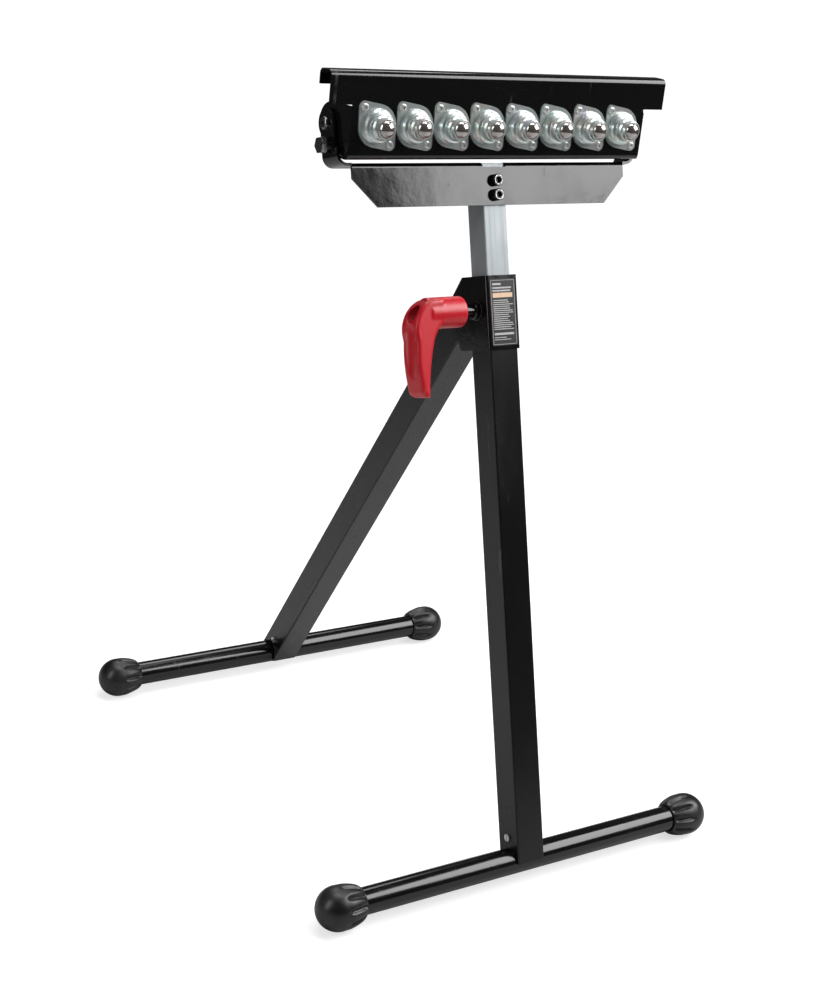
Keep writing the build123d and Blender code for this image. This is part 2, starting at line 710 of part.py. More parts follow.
# ---------------------------------------------------------------- ball transfers
def ball_housing(x):
    """Pressed cup on a two-ear flange; its lip holds the ball."""
    lip_out = ball_proud + lip_rise
    foot, wall, rim = ball_radius + 6.96, ball_radius + 2.96, ball_radius + 0.36
    profile = Polyline(
        (0, 0), (foot, 0), (foot, flange_thickness), (foot - 0.3, 4.6), (foot - 1.7, 6.4), (wall + 0.3, 7.0),
        (wall, 11.6), (wall - 0.9, ball_proud - 1.1), (wall - 1.7, ball_proud - 0.3),
        (rim + 0.5, lip_out - 0.4), (rim, lip_out), (0, lip_out), close=True)
    cup = revolve(make_face(Plane.XZ * profile), Axis.Z)
    race_radius = ball_radius + 2 * load_ball_radius + ball_gap
    race = Pos(0, 0, ball_proud) * Sphere(race_radius)
    race &= block(-foot, foot, -foot, foot, 0, ball_proud - load_race_end)
    cup -= race
    cup -= Pos(0, 0, ball_proud) * Sphere(ball_radius + ball_gap)
    cup -= Pos(0, 0, lip_out) * Cylinder(ball_radius - lip_inset, 2 * lip_rise)
    ears = [(-rivet_across, rivet_up), (rivet_across, -rivet_up)]
    hull = make_hull((Circle(flange_radius).edges() + (Pos(*ears[0]) * Circle(flange_ear_radius)).edges()
                      + (Pos(*ears[1]) * Circle(flange_ear_radius)).edges()))
    flange = extrude(hull, flange_thickness)
    flange -= Pos(0, 0, flange_thickness / 2) * Cylinder(foot - 0.9, flange_thickness)
    for ear in ears:
        flange -= Pos(*ear) * Cylinder(rivet_radius, 3 * flange_thickness)
    unit = Rot(90, 0, 0) * (cup + flange)
    return Pos(x, -plate_front, ball_up) * unit


def ball(x):
    return Pos(x, -plate_front - ball_proud, ball_up) * Sphere(ball_radius)


def load_balls():
    """Small balls between each ball and its cup."""
    reach = ball_radius + load_ball_radius + ball_gap / 2
    spheres = []
    for x in ball_places:
        centre = Pos(x, -plate_front - ball_proud, ball_up)
        spheres.append(centre * Pos(0, reach, 0) * Sphere(load_ball_radius))
        for i in range(load_ball_ring):
            turn = Rot(0, 360 / load_ball_ring * i, 0) * Rot(load_ball_tilt, 0, 0)
            spheres.append(centre * turn * Pos(0, reach, 0) * Sphere(load_ball_radius))
    return spheres


def rivets():
    solids = []
    for x in ball_places:
        for rivet_x, rivet_z in rivet_places(x):
            face = -plate_front - flange_thickness
            back = -plate_front + plate_sheet
            shank = rod_y(rivet_radius, face, back, x=rivet_x, z=rivet_z)
            top = face - rivet_head_height
            head = rod_y(rivet_head_radius, top, face, x=rivet_x, z=rivet_z)
            head = fillet(head.edges().group_by(Axis.Y)[0], rivet_head_edge)
            head -= rod_y(rivet_dimple_radius, top - 1, top + rivet_dimple_depth, x=rivet_x, z=rivet_z)
            tail = rod_y(rivet_tail_radius, back, back + rivet_tail_height, x=rivet_x, z=rivet_z)
            solids.append(shank + head + tail)
    return solids


# ---------------------------------------------------------------- write every node
def main():
    os.makedirs("parts", exist_ok=True)
    front = Location((0, front_y, bar_height))
    rear = Location((0, rear_y, bar_height))
    for name, place in (("front", front), ("rear", rear)):
        save(f"{name}_foot_bar", foot_bar(), place)
        save(f"{name}_left_foot_cap", foot_cap(-1), place)
        save(f"{name}_right_foot_cap", foot_cap(1), place)
    save("front_saddle_block", saddle_block(post_width, post_wall), post_frame)
    save("front_foot_screws", foot_screws(post_width), post_frame)
    save("front_post", front_post(), post_frame)
    save("clamp_collar", clamp_collar(), post_frame)
    save("label_plate", label_plate(), post_frame)
    save("guide_bush", guide_bush(), post_frame)
    save("clamp_weld_nut", clamp_weld_nut(), post_frame)
    save("hinge_bolt", hinge_bolt(), post_frame)
    save("hinge_washers", hinge_washers(), post_frame)
    save("hinge_nut", hinge_nut(), post_frame)
    save("rear_leg", rear_leg(), leg_frame)
    save("rear_saddle_block", saddle_block(leg_width, leg_wall), leg_frame)
    save("rear_foot_screws", foot_screws(leg_width), leg_frame)
    save("leg_bushes", leg_bushes(), leg_frame)
    save("clamp_handle", clamp_handle(), post_frame)
    save("clamp_stud", clamp_stud(), post_frame)
    save("stud_sleeve", stud_sleeve(), post_frame)
    save("handle_nut", handle_nut(), post_frame)
    save("pressure_pad", pressure_pad(), post_frame)
    save("inner_post", inner_post(), post_frame)
    save("post_foot_plug", post_foot_plug(), post_frame)
    save("yoke", yoke(), post_frame)
    save("apron_screws", apron_screws(), post_frame)
    save("apron_washers", apron_washers(), post_frame)
    save("apron_nuts", apron_nuts(), post_frame)
    save("pivot_bolts", pivot_bolts(), post_frame)
    save("pivot_washers", pivot_washers(), post_frame)
    save("pivot_nuts", pivot_nuts(), post_frame)
    save("lock_bolt", lock_bolt(), post_frame)
    save("support_plate", support_plate(), head_frame)
    save("pivot_bushes", pivot_bushes(), head_frame)
    save("load_balls", load_balls(), head_frame)
    save("ball_rivets", rivets(), head_frame)
    for number, x in enumerate(ball_places, 1):
        save(f"ball_housing_{number}", ball_housing(x), head_frame)
        save(f"ball_{number}", ball(x), head_frame)
    print("leg length", round(leg_length, 2), "leg lean", round(leg_lean, 3))
    print("leg fold", round(leg_lean + post_lean, 3))
    print("hinge", round(hinge_y, 3), round(hinge_z, 3), "pivot", round(pivot_y, 3), round(pivot_z, 3))


main()
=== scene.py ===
# %% [markdown]
# # A folding work-support stand
#
# This lesson dresses a finished mechanical model. The frame that is loaded first holds every part
# at its true place and size; what follows gives each surface its real finish, and remakes the few
# pieces whose look depends on small rounded or repeated shapes.

# %% Load the frame
import json
import math

import bmesh
import bpy
from mathutils import Matrix, Vector


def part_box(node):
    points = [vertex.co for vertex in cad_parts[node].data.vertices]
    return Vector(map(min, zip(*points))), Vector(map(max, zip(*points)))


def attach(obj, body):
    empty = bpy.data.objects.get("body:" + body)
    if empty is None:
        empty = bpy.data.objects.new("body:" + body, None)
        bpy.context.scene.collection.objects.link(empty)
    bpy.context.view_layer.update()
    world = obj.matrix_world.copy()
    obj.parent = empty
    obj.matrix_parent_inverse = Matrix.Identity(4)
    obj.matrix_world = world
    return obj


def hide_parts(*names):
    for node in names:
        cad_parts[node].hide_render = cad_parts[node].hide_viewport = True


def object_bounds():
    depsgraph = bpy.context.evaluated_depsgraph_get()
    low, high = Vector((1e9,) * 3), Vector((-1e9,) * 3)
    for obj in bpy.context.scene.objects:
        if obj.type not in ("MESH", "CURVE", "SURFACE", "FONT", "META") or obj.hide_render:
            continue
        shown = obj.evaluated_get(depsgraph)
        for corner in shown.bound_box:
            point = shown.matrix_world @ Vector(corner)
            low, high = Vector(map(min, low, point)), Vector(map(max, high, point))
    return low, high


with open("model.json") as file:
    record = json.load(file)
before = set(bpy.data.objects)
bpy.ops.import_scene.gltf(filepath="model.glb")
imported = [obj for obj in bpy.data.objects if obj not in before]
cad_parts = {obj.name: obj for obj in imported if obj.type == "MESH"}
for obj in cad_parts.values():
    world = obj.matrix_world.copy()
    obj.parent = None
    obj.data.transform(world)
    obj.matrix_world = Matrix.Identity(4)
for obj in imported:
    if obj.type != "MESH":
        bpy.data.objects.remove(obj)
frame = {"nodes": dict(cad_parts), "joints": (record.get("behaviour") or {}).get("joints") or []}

nodes = frame["nodes"]
cad_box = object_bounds()
mm = 0.001
print(len(nodes), "nodes;", "box", [[round(v, 4) for v in corner] for corner in cad_box])

# %% [markdown]
# Two directions matter on this stand: the world's own, and the line of the leaning post. The
# slide joint of the inner post gives that line, so nothing here has to be measured again. A point
# in the post's frame is (across, behind, along), starting at the front bar's axis.

# %% The post's own frame
slide = next(joint for joint in frame["joints"] if joint["name"] == "mast_slide")
lean = math.atan2(slide["axis"][1], slide["axis"][2])
bar_low, bar_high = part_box("front_foot_bar")
bar_centre = (bar_low + bar_high) / 2
post = Matrix.Translation(bar_centre) @ Matrix.Rotation(-lean, 4, "X")
to_post = post.inverted()
rear_low, rear_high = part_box("rear_foot_bar")
rear_centre = (rear_low + rear_high) / 2
fold = next(joint for joint in frame["joints"] if joint["name"] == "leg_fold")
hinge = Vector(fold["pos_m"])
leg_lean = math.atan2(rear_centre.y - hinge.y, hinge.z - rear_centre.z)
leg = Matrix.Translation(rear_centre) @ Matrix.Rotation(leg_lean, 4, "X")
print("post leans", round(math.degrees(lean), 2), "leg leans", round(math.degrees(leg_lean), 2))

# %% [markdown]
# Shader maths reads best as plain arithmetic. `Wire` holds one socket, and its operators add the
# Math nodes that they stand for; `node` adds any other node, settings first and sockets after.
# The same class serves materials and geometry trees, because both are node trees.

# %% A wire with arithmetic
class Wire:
    """One socket of a node tree that can be added, multiplied and compared."""

    def __init__(self, tree, socket=None):
        self.tree = tree
        self.socket = socket

    def node(self, kind, settings=None, inputs=None, out=0):
        """Add a node of that kind and return a wire from one of its outputs."""
        made = self.tree.nodes.new(kind)
        for name, value in (settings or {}).items():
            if name == "stops":
                set_stops(made.color_ramp, value)
            else:
                setattr(made, name, value)
        for name, value in (inputs or {}).items():
            if isinstance(value, Wire):
                self.tree.links.new(value.socket, made.inputs[name])
            else:
                made.inputs[name].default_value = value
        return Wire(self.tree, made.outputs[out])

    def maths(self, operation, a, b=0.0):
        return self.node("ShaderNodeMath", {"operation": operation}, {0: a, 1: b})

    def __add__(self, other):
        return self.maths("ADD", self, other)

    def __radd__(self, other):
        return self.maths("ADD", other, self)

    def __sub__(self, other):
        return self.maths("SUBTRACT", self, other)

    def __rsub__(self, other):
        return self.maths("SUBTRACT", other, self)

    def __mul__(self, other):
        return self.maths("MULTIPLY", self, other)

    def __rmul__(self, other):
        return self.maths("MULTIPLY", other, self)

    def __truediv__(self, other):
        return self.maths("DIVIDE", self, other)

    def __pow__(self, other):
        return self.maths("POWER", self, other)

    def __gt__(self, other):
        return self.maths("GREATER_THAN", self, other)

    def __lt__(self, other):
        return self.maths("LESS_THAN", self, other)

    def ramped(self, low, high, to_low=0.0, to_high=1.0):
        """Rise smoothly from to_low to to_high as the value goes from low to high."""
        return self.node("ShaderNodeMapRange", {"interpolation_type": "SMOOTHSTEP"},
                         {0: self, 1: low, 2: high, 3: to_low, 4: to_high})

    def clipped(self, low, high):
        """Rise in a straight line from 0 to 1 as the value goes from low to high."""
        return self.node("ShaderNodeMapRange", {"clamp": True}, {0: self, 1: low, 2: high})


def set_stops(ramp, stops):
    """Give a colour ramp its stops: a list of (position, colour)."""
    while len(ramp.elements) < len(stops):
        ramp.elements.new(1.0)
    for element, (position, colour) in zip(ramp.elements, stops):
        element.position = position
        element.color = (*colour, 1.0)


print("Wire is ready")

# %% [markdown]
# Every finish below is the same kind of recipe: a base colour that drifts a little, a roughness
# that is broken by handling marks, and a bump at the true scale of the real surface. These three
# helpers give the patterns. All of them read Object coordinates, in metres, so a pattern has the
# same size on every part; `turn` lines it up with the post or the leg.

# %% Patterns that the finishes share
def place(wire, stretch=(1, 1, 1), turn=0.0):
    """Object coordinates, turned about X and stretched."""
    spot = wire.node("ShaderNodeTexCoord", out="Object")
    turned = wire.node("ShaderNodeMapping", {}, {"Vector": spot, "Rotation": (turn, 0.0, 0.0)})
    return wire.node("ShaderNodeMapping", {}, {"Vector": turned, "Scale": stretch})


def noise(wire, scale, detail=3.0, rough=0.5, stretch=(1, 1, 1), turn=0.0):
    """Cloudy noise; scale is in waves per metre."""
    return wire.node("ShaderNodeTexNoise", {}, {
        "Vector": place(wire, stretch, turn), "Scale": scale, "Detail": detail, "Roughness": rough})


def cells(wire, scale, turn=0.0):
    """Distance to the nearest of many scattered points."""
    return wire.node("ShaderNodeTexVoronoi", {}, {"Vector": place(wire, turn=turn), "Scale": scale})


def tint(wire, mask, first, second):
    """Colour that goes from first to second with the mask."""
    return wire.node("ShaderNodeMix", {"data_type": "RGBA"},
                     {0: mask, 6: (*first, 1.0), 7: (*second, 1.0)}, out=2)


def tint_over(wire, mask, under, colour):
    """A colour laid over a colour that is already a wire."""
    return wire.node("ShaderNodeMix", {"data_type": "RGBA"},
                     {0: mask, 6: under, 7: (*colour, 1.0)}, out=2)


def bump(wire, height, depth, under=None):
    """Normal from a height pattern; depth is the relief in millimetres."""
    inputs = {"Height": height, "Distance": depth * mm, "Strength": 1.0}
    if under is not None:
        inputs["Normal"] = under
    return wire.node("ShaderNodeBump", {}, inputs)


def finish(name, recipe, **fixed):
    """A material: fixed numbers go on the shader's own sockets, the recipe feeds the rest."""
    material = bpy.data.materials.new(name)
    material.use_nodes = True
    shader = material.node_tree.nodes["Principled BSDF"]
    for label, value in fixed.items():
        shader.inputs[label.replace("_", " ")].default_value = value
    for label, wire in recipe(Wire(material.node_tree)).items():
        material.node_tree.links.new(wire.socket, shader.inputs[label])
    return material


print("patterns are ready")

# %% [markdown]
# ## Black enamel
# The folded sheets and the tubes are dipped or sprayed black. Sprayed enamel is never flat: it
# dries with a faint orange peel, which is what makes a long reflection shimmer, and handling
# leaves hairline scuffs that are paler and duller than the paint. One recipe takes the depth of
# the peel and the base roughness, so that sheet, round bar and square tube can differ a little.

# %% Paint for sheet, bars and tubes
def enamel(peel, sheen, turn, scuffs):
    def recipe(wire):
        drift = noise(wire, 9.0, 4.0, turn=turn)
        smear = noise(wire, 34.0, 5.0, 0.6, (1, 1, 0.35), turn)
        hairs = noise(wire, 150.0, 2.0, 0.5, (1, 1, 0.045), turn)
        scuff = hairs.ramped(0.655, 0.70) * smear.ramped(0.52, 0.66) * scuffs
        dust = (1 - cells(wire, 620.0, turn).ramped(0.05, 0.16)) * drift.ramped(0.5, 0.62)
        colour = tint(wire, drift, (0.0025, 0.0025, 0.003), (0.006, 0.006, 0.0065))
        colour = tint_over(wire, dust * 0.35, colour, (0.10, 0.10, 0.095))
        colour = tint_over(wire, scuff * 0.6, colour, (0.13, 0.13, 0.125))
        rough = sheen + smear.ramped(0.4, 0.75) * 0.07 + scuff * 0.3 + dust * 0.2
        slow = bump(wire, noise(wire, 58.0, 2.0, turn=turn), peel * 5.0)
        fine = bump(wire, noise(wire, 430.0, 2.0, 0.45, turn=turn), peel, slow)
        return {"Base Color": colour, "Roughness": rough,
                "Normal": bump(wire, hairs, scuffs * 0.01, fine)}
    return recipe


sheet_paint = finish("black_enamel_sheet", enamel(0.019, 0.10, 0.0, 0.8), IOR=1.5)
bar_paint = finish("black_enamel_bar", enamel(0.005, 0.13, math.pi / 2, 0.5), IOR=1.52)
tube_paint = finish("black_enamel_post", enamel(0.005, 0.22, lean, 0.7), IOR=1.46)
leg_paint = finish("black_enamel_leg", enamel(0.005, 0.24, -leg_lean, 0.7), IOR=1.5)
print("enamels:", [m.name for m in (sheet_paint, bar_paint, tube_paint, leg_paint)])

# %% [markdown]
# ## Zinc and bare steel
# The inner post is zinc-plated tube. The rolls leave lines along it, so the noise is squeezed
# across the post and drawn out along it. The ball housings are pressings with a bright clear
# passivate, which shows thin films of green, straw and violet; a wide noise read through a colour
# ramp gives those. The balls themselves are ground and polished steel, with only the finest
# hairlines.
#
# Metallic is below 1 on the post, the pressings, the rivets and the balls. Those four values were set for
# brightness under these lights. They have no physical meaning: all four are metal.

# %% Zinc, passivate and polished steel
def rolled_zinc(wire):
    lines = noise(wire, 900.0, 3.0, 0.6, (1, 1, 0.006), lean)
    cloud = noise(wire, 22.0, 4.0, 0.55, (1, 1, 0.5), lean)
    rub = noise(wire, 260.0, 2.0, 0.5, (1, 1, 0.02), lean).ramped(0.58, 0.68)
    colour = tint(wire, cloud.ramped(0.3, 0.7), (0.33, 0.36, 0.375), (0.42, 0.45, 0.47))
    colour = tint_over(wire, rub * 0.35, colour, (0.24, 0.26, 0.28))
    rough = 0.28 + lines * 0.10 + rub * 0.12
    return {"Base Color": colour, "Roughness": rough, "Normal": bump(wire, lines, 0.004)}


def passivate(wire):
    film = noise(wire, 46.0, 3.0, 0.55)
    colour = wire.node("ShaderNodeValToRGB", {"stops": [
        (0.30, (0.62, 0.70, 0.70)), (0.42, (0.74, 0.77, 0.77)), (0.50, (0.64, 0.74, 0.72)),
        (0.58, (0.76, 0.75, 0.70)), (0.68, (0.66, 0.68, 0.76))]}, {"Fac": film})
    grain = noise(wire, 2400.0, 2.0, 0.5)
    marks = noise(wire, 300.0, 4.0, 0.7).ramped(0.58, 0.70)
    rough = 0.25 + film * 0.08 + marks * 0.08
    return {"Base Color": colour, "Roughness": rough, "Normal": bump(wire, grain, 0.0012)}


def zinc_fastener(wire):
    film = noise(wire, 90.0, 3.0)
    stain = noise(wire, 420.0, 4.0, 0.65).ramped(0.57, 0.68)
    colour = tint(wire, film, (0.60, 0.62, 0.61), (0.76, 0.76, 0.73))
    colour = tint_over(wire, stain * 0.4, colour, (0.28, 0.28, 0.27))
    rough = 0.24 + film * 0.14 + stain * 0.2
    return {"Base Color": colour, "Roughness": rough,
            "Normal": bump(wire, noise(wire, 1800.0, 2.0), 0.006)}


def ground_steel(wire):
    hair = noise(wire, 2600.0, 2.0, 0.5, (1, 0.06, 1)).ramped(0.62, 0.72)
    cloud = noise(wire, 150.0, 3.0)
    colour = tint(wire, cloud, (0.42, 0.385, 0.36), (0.52, 0.485, 0.46))
    rough = 0.09 + hair * 0.08 + cloud * 0.04
    return {"Base Color": colour, "Roughness": rough, "Normal": bump(wire, hair, 0.0015)}


zinc_tube = finish("zinc_post", rolled_zinc, Metallic=0.35)
pressing = finish("zinc_pressing", passivate, Metallic=0.78)
fastener = finish("zinc_fastener", zinc_fastener, Metallic=1.0)
rivet_zinc = finish("rivet_zinc", zinc_fastener, Metallic=0.55)
ball_steel = finish("ball_steel", ground_steel, Metallic=0.88)
print("metals:", [m.name for m in (zinc_tube, pressing, fastener, rivet_zinc, ball_steel)])

# %% [markdown]
# ## Rubber, plastics, black oxide and brass
# Moulded rubber is dull and slightly open, with a bloom of pale dust; the lever is hard glossy
# plastic with soft sink marks and a few rubs; nylon bushes are waxy; black oxide on screws wears
# to bare steel in fine grain; the pad behind the clamp screw is brass.

# %% Rubber, plastic, oxide and brass
def moulded_rubber(wire):
    grain = noise(wire, 1300.0, 4.0, 0.65)
    bloom = noise(wire, 60.0, 5.0, 0.6)
    colour = tint(wire, bloom.ramped(0.35, 0.75), (0.006, 0.006, 0.0065), (0.014, 0.014, 0.014))
    specks = (1 - cells(wire, 900.0).ramped(0.04, 0.14)) * bloom.ramped(0.5, 0.65)
    colour = tint_over(wire, specks * 0.3, colour, (0.12, 0.115, 0.11))
    rough = 0.30 + bloom.ramped(0.3, 0.7) * 0.14 + specks * 0.2
    return {"Base Color": colour, "Roughness": rough, "Normal": bump(wire, grain, 0.012)}


def red_lever(wire):
    flow = noise(wire, 26.0, 3.0, 0.5)
    rub = noise(wire, 210.0, 3.0, 0.6, (1, 1, 0.12), lean).ramped(0.62, 0.70)
    colour = tint(wire, flow, (0.52, 0.006, 0.014), (0.66, 0.012, 0.026))
    colour = tint_over(wire, rub * 0.35, colour, (0.80, 0.16, 0.16))
    rough = 0.30 + flow * 0.06 + rub * 0.2
    sink = bump(wire, flow, 0.03)
    return {"Base Color": colour, "Roughness": rough,
            "Normal": bump(wire, noise(wire, 1100.0, 2.0), 0.005, sink)}


def waxy_nylon(wire):
    cloud = noise(wire, 120.0, 4.0)
    colour = tint(wire, cloud, (0.012, 0.012, 0.013), (0.030, 0.030, 0.031))
    return {"Base Color": colour, "Roughness": 0.38 + cloud * 0.2,
            "Normal": bump(wire, noise(wire, 900.0, 3.0), 0.02)}


def black_oxide(wire):
    wear = noise(wire, 700.0, 4.0, 0.7).ramped(0.60, 0.72)
    colour = tint(wire, wear, (0.016, 0.016, 0.018), (0.30, 0.30, 0.29))
    return {"Base Color": colour, "Roughness": 0.30 + wear * 0.14, "Metallic": 0.35 + wear * 0.6,
            "Normal": bump(wire, noise(wire, 1600.0, 2.0), 0.01)}


def worn_steel(wire):
    wear = noise(wire, 600.0, 4.0, 0.7).ramped(0.36, 0.62)
    colour = tint(wire, wear, (0.10, 0.10, 0.10), (0.42, 0.41, 0.40))
    return {"Base Color": colour, "Roughness": 0.34 - wear * 0.1, "Normal": bump(wire, wear, 0.01)}


def rubbed_brass(wire):
    wear = noise(wire, 500.0, 4.0, 0.6)
    colour = tint(wire, wear, (0.62, 0.44, 0.18), (0.80, 0.62, 0.32))
    return {"Base Color": colour, "Roughness": 0.25 + wear * 0.2, "Normal": bump(wire, wear, 0.01)}


rubber = finish("foot_rubber", moulded_rubber, IOR=1.5)
red_plastic = finish("red_lever_plastic", red_lever, IOR=1.5)
nylon = finish("black_nylon", waxy_nylon, IOR=1.5)
oxide = finish("black_oxide", black_oxide)
bright_rim = finish("worn_screw_rim", worn_steel, Metallic=1.0)
brass = finish("clamp_pad_brass", rubbed_brass, Metallic=1.0)
print("others:", [m.name for m in (rubber, red_plastic, nylon, oxide, bright_rim, brass)])

# %% [markdown]
# ## The label
# The card on the collar is black vinyl with pale print. Its words belong to nobody here, so plain
# bars stand for the lines of text. The vinyl has the fine pebble of an overlaminate; the inks sit
# on it and break up a little.

# %% Vinyl and inks
def vinyl(wire):
    pebble = cells(wire, 1500.0, lean)
    cloud = noise(wire, 70.0, 3.0)
    colour = tint(wire, cloud, (0.008, 0.008, 0.009), (0.018, 0.017, 0.017))
    return {"Base Color": colour, "Roughness": 0.26 + cloud * 0.14, "Normal": bump(wire, pebble, 0.006)}


def ink(first, second):
    def recipe(wire):
        broken = noise(wire, 1400.0, 3.0, 0.6)
        return {"Base Color": tint(wire, broken.ramped(0.3, 0.75), first, second),
                "Roughness": 0.40 + broken * 0.2, "Normal": bump(wire, broken, 0.004)}
    return recipe


label_vinyl = finish("label_vinyl", vinyl)
white_ink = finish("label_white_ink", ink((0.36, 0.36, 0.35), (0.70, 0.70, 0.69)))
peach_ink = finish("label_peach_ink", ink((0.78, 0.50, 0.32), (0.90, 0.66, 0.48)))
print("label:", [m.name for m in (label_vinyl, white_ink, peach_ink)])

# %% [markdown]
# ## Painting the parts
# A part whose shape is already right only needs its material. Each node of the frame is named
# once here, and the list is checked against the frame, so a part cannot be forgotten.

# %% Give every node its finish
painted = {
    "sheet": (sheet_paint, ["clamp_collar", "support_plate", "yoke", "clamp_weld_nut", "stud_sleeve"]),
    "bars": (bar_paint, ["front_foot_bar", "rear_foot_bar"]),
    "post": (tube_paint, ["front_post"]),
    "leg": (leg_paint, ["rear_leg"]),
    "caps": (rubber, [f"{end}_{side}_foot_cap"
                      for end in ("front", "rear") for side in ("left", "right")]),
    "mast": (zinc_tube, ["inner_post"]),
    "lever": (red_plastic, ["clamp_handle"]),
    "nylon": (nylon, ["front_saddle_block", "rear_saddle_block", "guide_bush", "leg_bushes",
                      "post_foot_plug", "pivot_bushes"]),
    "label": (label_vinyl, ["label_plate"]),
    "zinc": (fastener, ["hinge_bolt", "hinge_washers", "hinge_nut", "clamp_stud", "handle_nut",
                        "apron_washers", "apron_nuts", "pivot_washers", "pivot_nuts",
                        "front_foot_screws", "rear_foot_screws"]),
    "rivets": (rivet_zinc, ["ball_rivets"]),
    "oxide": (oxide, ["apron_screws"]),
    "worn": (bright_rim, ["pivot_bolts", "lock_bolt"]),
    "pad": (brass, ["pressure_pad"]),
    "balls": (ball_steel, ["load_balls"] + [f"ball_{i}" for i in range(1, 9)]),
    "cups": (pressing, [f"ball_housing_{i}" for i in range(1, 9)]),
}
for material, names in painted.values():
    for name in names:
        nodes[name].data.materials.clear()
        nodes[name].data.materials.append(material)
unpainted = set(nodes) - {name for _, names in painted.values() for name in names}
print("unpainted nodes:", sorted(unpainted))

# %% [markdown]
# ## Soft edges
# Bent sheet and drawn tube have no knife edges: a square tube has a corner radius of about its
# wall, and a sheared sheet a small burr radius. Those edges catch the long thin highlights that
# make black paint readable. Each such part is copied, its triangles are merged, its long corners
# are rounded to the tube's radius and every other sharp edge is broken slightly.

# %% Round the corners of a copied part
def merged_copy(name):
    """A clean bmesh of a node: doubles merged and flat triangles joined."""
    shape = bmesh.new()
    shape.from_mesh(nodes[name].data)
    bmesh.ops.remove_doubles(shape, verts=shape.verts, dist=0.002 * mm)
    bmesh.ops.dissolve_limit(shape, angle_limit=math.radians(0.5), verts=shape.verts, edges=shape.edges)
    return shape


def sharp_edges(shape, least, along=None, longer=0.0):
    """Edges that turn outwards by more than least degrees, and may have to run along a direction."""
    found = []
    for edge in shape.edges:
        if len(edge.link_faces) != 2 or edge.calc_face_angle_signed() < math.radians(least):
            continue
        direction = edge.verts[1].co - edge.verts[0].co
        if direction.length < longer:
            continue
        if along is None or abs(direction.normalized().dot(along)) > 0.999:
            found.append(edge)
    return found


def piece(name, mesh, body, slot, *stands_for):
    """Put a finished mesh in the scene and tell the frame whose it is."""
    made = bpy.data.objects.new(name, mesh)
    bpy.context.scene.collection.objects.link(made)
    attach(made, body)
    if stands_for:
        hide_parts(*stands_for)
    return made


def worked(mesh, kind, **settings):
    """A copy of a mesh with one modifier applied."""
    host = bpy.data.objects.new("host", mesh)
    bpy.context.scene.collection.objects.link(host)
    modifier = host.modifiers.new("work", kind)
    for label, value in settings.items():
        setattr(modifier, label, value)
    bpy.context.view_layer.update()
    ready = host.evaluated_get(bpy.context.evaluated_depsgraph_get())
    result = bpy.data.meshes.new_from_object(ready)
    bpy.data.objects.remove(host)
    return result


def soften(name, body, slot, material, corner, edge, along=None):
    """Replace a node by a copy with rounded long corners and slightly broken edges."""
    shape = merged_copy(name)
    if corner:
        long_ones = sharp_edges(shape, 60, along, 60 * mm)
        bmesh.ops.bevel(shape, geom=long_ones, offset=corner * mm, segments=4, profile=0.5,
                        affect="EDGES")
    small_ones = sharp_edges(shape, 50)
    bmesh.ops.bevel(shape, geom=small_ones, offset=edge * mm, segments=2, profile=0.5, affect="EDGES",
                    clamp_overlap=True)
    mesh = bpy.data.meshes.new(name + "_soft")
    shape.to_mesh(mesh)
    shape.free()
    mesh.materials.append(material)
    mesh.shade_smooth()
    mesh.set_sharp_from_angle(angle=math.radians(32))
    even = worked(mesh, "WEIGHTED_NORMAL", mode="FACE_AREA_WITH_ANGLE", weight=100, keep_sharp=True)
    made = piece(name + "_soft", even, body, slot, name)
    print(name, "corners", len(even.polygons), "faces")
    return made


post_line = post.to_3x3() @ Vector((0, 0, 1))
leg_line = leg.to_3x3() @ Vector((0, 0, 1))
soften("front_post", "base", "black_paint_tube", tube_paint, 1.5, 0.15, post_line)
soften("rear_leg", "leg", "black_paint_tube", leg_paint, 1.5, 0.15, leg_line)
soften("inner_post", "mast", "zinc_tube", zinc_tube, 1.2, 0.15, post_line)
soften("clamp_collar", "base", "black_paint_sheet", sheet_paint, 0, 0.3)
soften("yoke", "mast", "black_paint_sheet", sheet_paint, 0, 0.3)
soften("support_plate", "head", "black_paint_sheet", sheet_paint, 0, 0.25)

# %% [markdown]
# ## The clamp lever
# The lever is one injection moulding, so nothing on it is sharp: every edge flows into the next.
# Rounding each edge by number would leave seams where they meet. Remeshing the solid into small
# even squares and relaxing them a few times melts all edges together, as a worn mould does.

# %% Melt the lever's edges together
lever_shape = bmesh.new()
lever_shape.from_mesh(nodes["clamp_handle"].data)
bmesh.ops.remove_doubles(lever_shape, verts=lever_shape.verts, dist=0.002 * mm)
lever_mesh = bpy.data.meshes.new("lever")
lever_shape.to_mesh(lever_mesh)
lever_shape.free()
even_squares = worked(lever_mesh, "REMESH", mode="VOXEL", voxel_size=0.55 * mm, adaptivity=0.0)
relaxed = worked(even_squares, "SMOOTH", factor=0.5, iterations=26)
relaxed.materials.clear()
relaxed.materials.append(red_plastic)
relaxed.shade_smooth()
piece("clamp_lever_moulded", relaxed, "clamp", "red_plastic", "clamp_handle")
print("lever", len(relaxed.polygons), "faces")

# %% [markdown]
# ## Geometry trees
# What repeats, or follows a formula, is grown by Geometry Nodes. A tree is built once with named
# inputs for its sizes, run on an empty host, and its result kept as a plain mesh. `finish_tree`
# closes every tree the same way: instances are made real, and the material is set.

